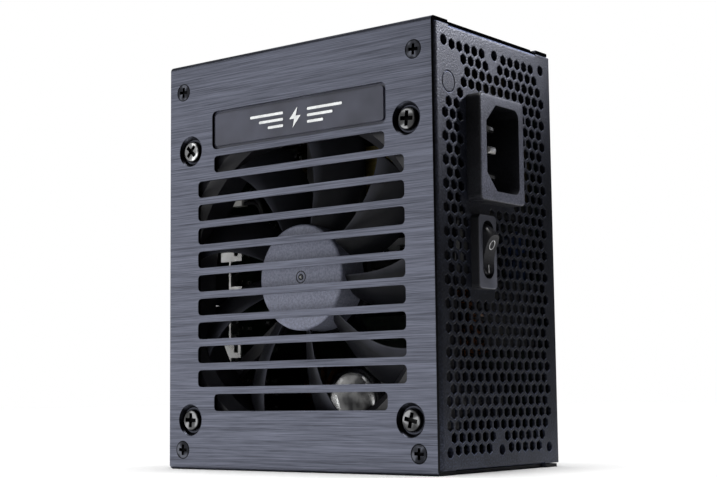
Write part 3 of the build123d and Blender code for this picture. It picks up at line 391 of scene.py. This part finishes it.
def moulded(name, colour, roughness=0.5, grain_size=0.25, specular=0.5):
    """Moulded plastic: slight colour drift and a fine spark-eroded grain, its size in millimetres."""
    made = surface(name, colour, roughness=roughness, specular=specular)
    grain = noise(made, 1 / (grain_size * MM))
    drift = noise(made, 90)
    plug(made, "Base Color", ramp(made, drift, [(0.35, shade(colour, 0.8)), (0.65, shade(colour, 1.25))]))
    plug(made, "Roughness", spread(made, grain, roughness - 0.08, roughness + 0.08))
    bump(made, grain, 0.25, 0.04 * MM)
    return made


def metal(name, colour, roughness=0.3):
    """Plain plated or bare metal with faint smudges and a fine grain."""
    made = surface(name, colour, metallic=1.0, roughness=roughness)
    smudge = noise(made, 220, 3.0)
    plug(made, "Base Color", ramp(made, smudge, [(0.35, shade(colour, 0.78)), (0.65, shade(colour, 1.12))]))
    plug(made, "Roughness", spread(made, smudge, roughness - 0.08, roughness + 0.1))
    bump(made, noise(made, 1800), 0.15, 0.03 * MM)
    return made


def circuit_board(name, colour, copper):
    """Solder mask with faint tracks and pads under it."""
    made = surface(name, colour, roughness=0.35)
    upright = {"Vector": own_place(made), "Rotation": (math.pi / 2, 0, 0)}
    inputs = {
        "Vector": node_of(made, "ShaderNodeMapping", upright).outputs["Vector"],
        "Color1": (*colour, 1), "Color2": (*shade(colour, 1.5), 1), "Mortar": (*copper, 1),
        "Scale": 90, "Mortar Size": 0.035,
    }
    cells = node_of(made, "ShaderNodeTexBrick", inputs)
    plug(made, "Base Color", cells.outputs["Color"])
    plug(made, "Roughness", spread(made, noise(made, 400), 0.28, 0.45))
    bump(made, cells.outputs["Fac"], 0.2, 0.05 * MM)
    return made


def wound(name, colour):
    """Enamelled wire: glossy, with close-laid turns."""
    made = surface(name, colour, metallic=0.6, roughness=0.3, coat=0.4)
    stops = [(0.35, shade(colour, 0.7)), (0.65, shade(colour, 1.2))]
    plug(made, "Base Color", ramp(made, noise(made, 500), stops))
    bump(made, noise(made, 1500), 0.2, 0.1 * MM)
    return made


def tape(name, colour):
    """Polyester tape: wrapped edges show as faint bands."""
    made = surface(name, colour, roughness=0.3, coat=0.3)
    wraps = noise(made, 1.0, stretch=(60, 60, 420))
    plug(made, "Base Color", ramp(made, wraps, [(0.38, shade(colour, 0.72)), (0.6, shade(colour, 1.15))]))
    bump(made, wraps, 0.4, 0.3 * MM)
    return made


def glass(name):
    """Clear glass with a faint ripple."""
    made = surface(name, (0.85, 0.88, 0.86), roughness=0.06)
    made.node_tree.nodes["Principled BSDF"].inputs["Transmission Weight"].default_value = 0.8
    bump(made, noise(made, 300), 0.05, 0.1 * MM)
    return made


def earth_finish():
    """A wire that turns from yellow to green up its length."""
    made = moulded("wire_green_yellow", (0.35, 0.45, 0.06), 0.4)
    return multiplied(made, along(made, "Z"), [(0.0, (1, 1, 1)), (0.2, (0.5, 0.9, 0.6))])


def impeller_finish():
    """Black glossy blades with painted highlights on their front-facing edges, round a paler hub, told apart
    by distance from the axis; painted light makes it paler low down.
    """
    made = moulded("impeller_plastic", BLADE_BLACK, 0.42, 0.4, specular=0.2)
    # painted highlight: edges that turn towards the front are made five times paler
    tinted(made, edge_towards(made, (0, -1, 0), 0.5 * MM), [(0.90, 1), (0.98, 5), (1.0, 5)])
    from_axis = nearest_axis(made, [(0, FAN_AXIS_Z)])
    rim = {"Value": from_axis, "From Min": HUB_RADIUS, "From Max": HUB_RADIUS + 0.15 * MM}
    beyond_hub = node_of(made, "ShaderNodeMapRange", rim).outputs["Result"]
    grain = noise(made, 1500, 3.0, 0.7)
    hub = ramp(made, grain, [(0.38, shade(HUB_GREY, 0.80)), (0.62, shade(HUB_GREY, 1.17))])
    plug(made, "Base Color", mixed_colour(made, beyond_hub, hub, base_colour(made)))
    # painted light: paler towards the bottom
    return tinted(made, along(made, "Z"), [(36 * MM, 1.6), (58 * MM, 1.0)])


def cover_finish():
    """The brushed cover, with painted shade down the sides of its dimples and on its faces that turn towards
    +X, round its sheet's edges.
    """
    made = brushed("cover_brushed", COVER_BLUE_GREY, 0.38, 0.55)
    # painted shade: darker inside the dimples round the fan screws
    dimple_shade = [
        (0, 0.10), (FAN_SCREW_RADIUS, 0.12), (DIMPLE_FLOOR_RADIUS, 0.55),
        (DIMPLE_RADIUS - 0.35 * MM, 0.72), (DIMPLE_RADIUS, 0.55), (DIMPLE_RADIUS + 0.06 * MM, 1),
    ]
    tinted(made, nearest_axis(made, FAN_SCREW_AXES), dimple_shade)
    # painted shade: faces that turn towards +X, round the sheet's edges, nearly black
    return tinted(made, facing(made, "X"), [(0.0, 1), (0.3, 1), (0.6, 0.06), (1.0, 0.06)])


def screw_finish(name, colour, axes, radius, front):
    """A plated screw head with painted patchy reflections, and painted shade that makes it nearly black at
    its rim and down its cross.
    """
    made = surface(name, colour, metallic=1.0, roughness=0.3)
    # painted reflection: noise patches up to 2.4 times paler in the colour; the same noise sets roughness
    # and bump
    patches = noise(made, 300, 1.0)
    stops = [(0.42, shade(colour, 0.35)), (0.52, shade(colour, 0.8)), (0.60, shade(colour, 2.4))]
    plug(made, "Base Color", ramp(made, patches, stops))
    plug(made, "Roughness", spread(made, patches, 0.25, 0.4))
    bump(made, patches, 0.3, 0.2 * MM)
    # painted shade: nearly black round the rim
    rim = [(0, 1), (radius - 0.45 * MM, 1), (radius - 0.2 * MM, 0.15), (radius, 0.1)]
    tinted(made, nearest_axis(made, axes), rim)
    # painted shade: nearly black behind the head's front, down its cross
    recess_shade = [(front + 0.1 * MM, 1), (front + 0.35 * MM, 0.04), (front + 1 * MM, 0.03)]
    return tinted(made, along(made, "Y"), recess_shade)


def cover_screw_finish():
    """Black nickel."""
    axes, front = COVER_SCREW_AXES, COVER_SCREW_LOW.y
    return screw_finish("screw_black_nickel", (0.052, 0.055, 0.066), axes, COVER_SCREW_RADIUS, front)


def fan_screw_finish():
    """Zinc-plated heads; the upper left one is made brighter than the rest."""
    axes, front = FAN_SCREW_AXES, FAN_SCREW_LOW.y
    made = screw_finish("screw_zinc", (0.15, 0.152, 0.155), axes, FAN_SCREW_RADIUS, front)
    upper_left = FAN_SCREW_AXES[1]
    bright = [(0, 3.6), (2 * FAN_SCREW_RADIUS, 3.6), (3 * FAN_SCREW_RADIUS, 1)]
    return tinted(made, nearest_axis(made, [upper_left]), bright)


def base_finish():
    """The powder-coated chassis, with painted light that makes it pale low down, and painted highlights on
    the edges of its holes that face the light.
    """
    edge = 0.35 * MM
    made = powder_coat("base_powder_coat", BASE_BLUE_GREY, 2.1, edge)
    # painted light: paler towards the bottom
    tinted(made, along(made, "Z"), [(3 * MM, 2.9), (16 * MM, 1.5), (35 * MM, 1)])
    # painted highlight: hole edges on the X-facing panel that turn up towards the light, up to twelve times
    # paler
    turned = edge_towards(made, (0, -0.3, 0.95), edge)
    on_panel = {0: turned, 1: facing(made, "X")}
    lit = node_of(made, "ShaderNodeMath", on_panel, operation="MULTIPLY")
    return tinted(made, lit.outputs["Value"], [(0.22, 1), (0.4, 9), (1.0, 12)])


def inlet_finish():
    """Grained moulding, with painted light that makes it paler low down on the face, and painted shade on
    its sides.
    """
    made = powder_coat("inlet_moulding", (0.175, 0.182, 0.225), 1.4, 0.3 * MM)
    # painted light: paler low down, darker near the top
    tinted(made, along(made, "Z"), [(66 * MM, 1.25), (82 * MM, 1.0), (98 * MM, 0.30)])
    # painted shade: darker on faces that don't turn towards X
    return tinted(made, facing(made, "X"), SIDES_IN_SHADE)


def switch_finish():
    """Like the inlet, in the switch's plastic: painted light makes it darker near the top, and painted shade
    darkens its sides.
    """
    made = moulded("switch_moulding", (0.26, 0.27, 0.33), 0.45)
    # painted light: darker towards the top
    tinted(made, along(made, "Z"), [(47 * MM, 1), (66 * MM, 0.40)])
    # painted shade: darker on faces that don't turn towards X
    return tinted(made, facing(made, "X"), SIDES_IN_SHADE)


def make_materials():
    """Every finish, under the short name that NODE_FINISH uses."""
    return {
        "cover": cover_finish(),
        "base": base_finish(),
        "plate": moulded("plate_satin", (0.080, 0.085, 0.120), 0.42, 0.12),
        "emblem": metal("emblem_polished", (0.80, 0.82, 0.82), 0.22),
        "small_screw": cover_screw_finish(),
        "fan_screw": fan_screw_finish(),
        "inlet": inlet_finish(),
        "switch": switch_finish(),
        "rocker": moulded("rocker_gloss", (0.018, 0.018, 0.021), 0.32, 0.3),
        "contact": metal("contact_tinned", (0.80, 0.79, 0.76), 0.25),
        "fan": moulded("fan_plastic", (0.018, 0.018, 0.022), 0.4, 0.3),
        "impeller": impeller_finish(),
        "socket": moulded("socket_nylon", (0.016, 0.016, 0.018), 0.4),
        "black": moulded("black_moulding", (0.02, 0.02, 0.022), 0.45),
        "steel": metal("bare_steel", (0.55, 0.55, 0.57), 0.35),
        "aluminium": metal("mill_aluminium", (0.62, 0.63, 0.65), 0.34),
        "can_end": metal("can_end_aluminium", (0.92, 0.93, 0.95), 0.18),
        "brass": metal("turned_brass", (0.75, 0.58, 0.27), 0.3),
        "ferrite": moulded("ferrite_grey", (0.035, 0.035, 0.038), 0.6, 0.5),
        "copper": wound("copper_enamel", (0.16, 0.065, 0.025)),
        "board": circuit_board("board_mask", (0.002, 0.007, 0.004), (0.006, 0.018, 0.009)),
        "tape": tape("yellow_tape", (0.30, 0.23, 0.06)),
        "film_box": moulded("film_capacitor", (0.035, 0.027, 0.008), 0.4),
        "busbar": metal("busbar_tinned", (0.97, 0.97, 0.95), 0.28),
        "sleeve": moulded("can_sleeve", (0.022, 0.023, 0.028), 0.3, 0.6),
        "blue": moulded("dipped_ceramic", (0.008, 0.025, 0.08), 0.35),
        "green": moulded("thermistor_green", (0.008, 0.04, 0.02), 0.4),
        "film": moulded("insulation_film", (0.10, 0.10, 0.11), 0.3),
        "wire": moulded("wire_black", (0.02, 0.02, 0.022), 0.4),
        "earth": earth_finish(),
        "nylon": moulded("plug_nylon", (0.62, 0.62, 0.58), 0.4),
        "glass": glass("fuse_glass"),
        "white_mark": moulded("white_mark", (0.80, 0.80, 0.80), 0.4),
    }


NODE_FINISH = {
    "base_chassis": "base", "fan_cover": "cover", "cover_screws": "small_screw",
    "fan_screws": "fan_screw", "name_plate": "plate", "emblem": "emblem",
    "inlet_housing": "inlet", "inlet_pins": "contact", "switch_housing": "switch",
    "switch_rocker": "rocker", "switch_terminals": "contact", "fan_frame": "fan",
    "fan_impeller": "impeller", "fan_rotor_ring": "steel", "fan_magnet": "ferrite",
    "fan_shaft": "steel", "fan_bearing": "brass", "fan_stator": "steel",
    "fan_coils": "copper", "fan_circuit_board": "board", "fan_lead": "wire", "fan_plug": "nylon",
    "main_board": "board", "insulation_sheet": "film", "board_standoffs": "brass",
    "board_screws": "steel", "bulk_capacitor_1": "sleeve", "bulk_capacitor_2": "sleeve",
    "transformer_core": "ferrite", "transformer_winding": "tape", "transformer_bobbin": "black",
    "standby_transformer": "tape", "pfc_choke_core": "ferrite", "pfc_choke_winding": "copper",
    "emi_choke_core": "ferrite", "emi_choke_winding": "copper", "output_choke_core": "ferrite",
    "output_choke_winding": "copper", "x_capacitors": "film_box", "y_capacitors": "blue",
    "fuse": "glass", "bridge_rectifier": "black", "relay": "black", "thermistor": "green",
    "primary_heat_sink": "aluminium", "secondary_heat_sink": "aluminium",
    "power_transistors": "black", "output_capacitors": "sleeve", "control_board": "board",
    "control_chips": "black", "socket_board": "board", "busbar": "busbar",
    "socket_18pin": "socket", "socket_10pin": "socket", "cpu_sockets": "socket",
    "pcie_sockets": "socket", "drive_sockets": "socket", "socket_pins": "contact",
    "inlet_wires": "wire", "earth_wire": "earth",
}


WELD_WITHIN = 2e-6
SMOOTH_BELOW = math.radians(28)


def smooth_group():
    """A modifier that joins the frame's loose triangles and shades its curved faces smooth."""
    group = bpy.data.node_groups.new("smooth_curves", "GeometryNodeTree")
    group.interface.new_socket("Geometry", in_out="INPUT", socket_type="NodeSocketGeometry")
    group.interface.new_socket("Geometry", in_out="OUTPUT", socket_type="NodeSocketGeometry")
    start = group.nodes.new("NodeGroupInput")
    end = group.nodes.new("NodeGroupOutput")
    weld = group.nodes.new("GeometryNodeMergeByDistance")
    weld.inputs["Distance"].default_value = WELD_WITHIN
    faces = group.nodes.new("GeometryNodeSetShadeSmooth")
    faces.domain = "FACE"
    faces.inputs["Shade Smooth"].default_value = True
    angle = group.nodes.new("GeometryNodeInputMeshEdgeAngle")
    flat_enough = group.nodes.new("FunctionNodeCompare")
    flat_enough.data_type = "FLOAT"
    flat_enough.operation = "LESS_THAN"
    flat_enough.inputs[1].default_value = SMOOTH_BELOW
    edges = group.nodes.new("GeometryNodeSetShadeSmooth")
    edges.domain = "EDGE"
    link = group.links.new
    link(start.outputs[0], weld.inputs["Geometry"])
    link(weld.outputs["Geometry"], faces.inputs["Geometry"])
    link(faces.outputs["Geometry"], edges.inputs["Geometry"])
    link(angle.outputs["Unsigned Angle"], flat_enough.inputs[0])
    link(flat_enough.outputs["Result"], edges.inputs["Shade Smooth"])
    link(edges.outputs["Geometry"], end.inputs[0])
    return group


def dress_frame(materials):
    """Gives every CAD node its material and its smooth shading."""
    group = smooth_group()
    for name, finish in NODE_FINISH.items():
        node = NODES[name]
        node.data.materials.clear()
        node.data.materials.append(materials[finish])
        node.modifiers.new("smooth_curves", "NODES").node_group = group


# ------------------------------------------------------------------ mesh helpers
def add_piece(name, bm, material, body):
    """Turns a bmesh into a piece that rides on a body and takes the given material."""
    mesh = bpy.data.meshes.new(name)
    bmesh.ops.recalc_face_normals(bm, faces=bm.faces)
    for face in bm.faces:
        face.smooth = True
    bm.to_mesh(mesh)
    bm.free()
    mesh.materials.append(material)
    piece = bpy.data.objects.new(name, mesh)
    bpy.context.scene.collection.objects.link(piece)
    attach(piece, body)


def lathe(bm, profile, centre, segments=48):
    """A closed turned solid about Y, from (radius, distance along Y) points, as new faces of bm."""
    rings = []
    for radius, reach in profile:
        ring = []
        for k in range(segments):
            a = 2 * math.pi * k / segments
            ring.append(bm.verts.new(centre + Vector((radius * math.cos(a), reach, radius * math.sin(a)))))
        rings.append(ring)
    for low, high in zip(rings, rings[1:]):
        for k in range(segments):
            j = (k + 1) % segments
            bm.faces.new((low[k], low[j], high[j], high[k]))
    bm.faces.new(rings[0])
    bm.faces.new(rings[-1])


def bead_along(bm, path, radius, sides=8, closed=True):
    """A round bead along a path of points."""
    count = len(path)
    turns = [2 * math.pi * k / sides for k in range(sides)]
    loops = []
    for i, point in enumerate(path):
        before = path[i - 1] if closed or i else point
        after = path[(i + 1) % count] if closed or i < count - 1 else point
        forward = (after - before).normalized()
        side = forward.cross(Vector((1, 0, 0)))
        if side.length < 0.1:
            side = forward.cross(Vector((0, 0, 1)))
        side.normalize()
        lift = forward.cross(side)
        offsets = [radius * (math.cos(t) * side + math.sin(t) * lift) for t in turns]
        loops.append([bm.verts.new(point + offset) for offset in offsets])
    for i in range(count if closed else count - 1):
        low, high = loops[i], loops[(i + 1) % count]
        for k in range(sides):
            j = (k + 1) % sides
            bm.faces.new((low[k], low[j], high[j], high[k]))
    if not closed:
        bm.faces.new(loops[0])
        bm.faces.new(loops[-1])


# ------------------------------------------------------------------ details
FACE_RADIUS = 15.2 * MM          # the rocker's hollow face, as in the CAD
FACE_TILT = math.radians(104.1)
FACE_REACH = 20.0 * MM
MARK_BEAD = 0.16 * MM            # radius of the raised lines that draw its marks
OFF_HALF_HEIGHT = 1.3 * MM       # the open circle
OFF_HALF_WIDTH = 1.15 * MM
OFF_ANGLE = 0.165                # radians along the face, up from its middle
OFF_POINTS = 28
ON_ANGLE = -0.20                 # the bar's upper end
ON_STEP = 0.026
ON_POINTS = 7


def rocker_face(angle):
    """A point in the middle of the rocker's hollow face, at an angle round that face's axis."""
    direction = Vector((math.sin(FACE_TILT), 0, math.cos(FACE_TILT)))
    centre = ROCK_PIVOT + FACE_REACH * direction
    up_face = Vector((direction.z, 0, -direction.x))
    return centre - FACE_RADIUS * (math.cos(angle) * direction + math.sin(angle) * up_face)


def add_rocker_marks(materials):
    """The open circle and the bar that every mains rocker carries, printed on its face."""
    middle = ROCK_PIVOT.y
    circle = []
    for k in range(OFF_POINTS):
        a = 2 * math.pi * k / OFF_POINTS
        point = rocker_face(OFF_HALF_HEIGHT * math.cos(a) / FACE_RADIUS + OFF_ANGLE)
        circle.append(Vector((point.x, middle + OFF_HALF_WIDTH * math.sin(a), point.z)))
    bar = []
    for k in range(ON_POINTS):
        point = rocker_face(ON_ANGLE - ON_STEP * k)
        bar.append(Vector((point.x, middle, point.z)))
    for name, path, closed in (("rocker_mark_off", circle, True), ("rocker_mark_on", bar, False)):
        bm = bmesh.new()
        bead_along(bm, path, MARK_BEAD, closed=closed)
        add_piece(name, bm, materials["white_mark"], "rocker")


GATE_RINGS = ((1.7 * MM, 0.16 * MM), (0.75 * MM, 0.2 * MM))      # radius and bead of each ring
GATE_DOT = ((0.35 * MM, -0.25 * MM), (0.45 * MM, 0.05 * MM))     # its front and its foot


def add_hub_mark(materials):
    """The moulding gate at the middle of the fan hub: two fine rings round a dot."""
    centre = Vector((FAN_CENTRE.x, HUB_LOW.y, FAN_AXIS_Z))
    turns = [2 * math.pi * k / 40 for k in range(40)]
    bm = bmesh.new()
    for radius, bead in GATE_RINGS:
        circle = [centre + radius * Vector((math.cos(a), 0, math.sin(a))) for a in turns]
        bead_along(bm, circle, bead)
    add_piece("hub_gate_rings", bm, materials["black"], "fan_rotor")
    bm = bmesh.new()
    lathe(bm, GATE_DOT, centre, segments=20)
    add_piece("hub_gate_dot", bm, materials["nylon"], "fan_rotor")


CAN_DOME = 0.7 * MM              # how far a can's end bulges
CAN_SLEEVE = 1.3 * MM            # width of the sleeve's lip round it
CAN_BEVEL = ((0, 0.05), (0, -0.12), (0.4, -0.28))    # inwards and along Y, in millimetres
CAN_SHARES = (0.85, 0.7, 0.55, 0.4, 0.25, 0.1)       # of the radius, where the dome's rings lie


def add_can_ends(materials):
    """Bare, slightly domed aluminium ends of the large capacitors."""
    for index in (1, 2):
        low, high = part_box(f"bulk_capacitor_{index}")
        centre = Vector(((low.x + high.x) / 2, low.y, (low.z + high.z) / 2))
        radius = (high.x - low.x) / 2 - CAN_SLEEVE
        profile = [(radius - inwards * MM, forward * MM) for inwards, forward in CAN_BEVEL]
        foot = profile[-1][1]
        for share in CAN_SHARES:
            profile.append((radius * share, foot - CAN_DOME * (1 - share * share)))
        bm = bmesh.new()
        lathe(bm, profile, centre)
        add_piece(f"can_end_{index}", bm, materials["can_end"], "case")


MATERIALS = make_materials()
dress_frame(MATERIALS)
add_rocker_marks(MATERIALS)
add_hub_mark(MATERIALS)
add_can_ends(MATERIALS)
make_camera()
make_world()
make_floor()
make_lights()
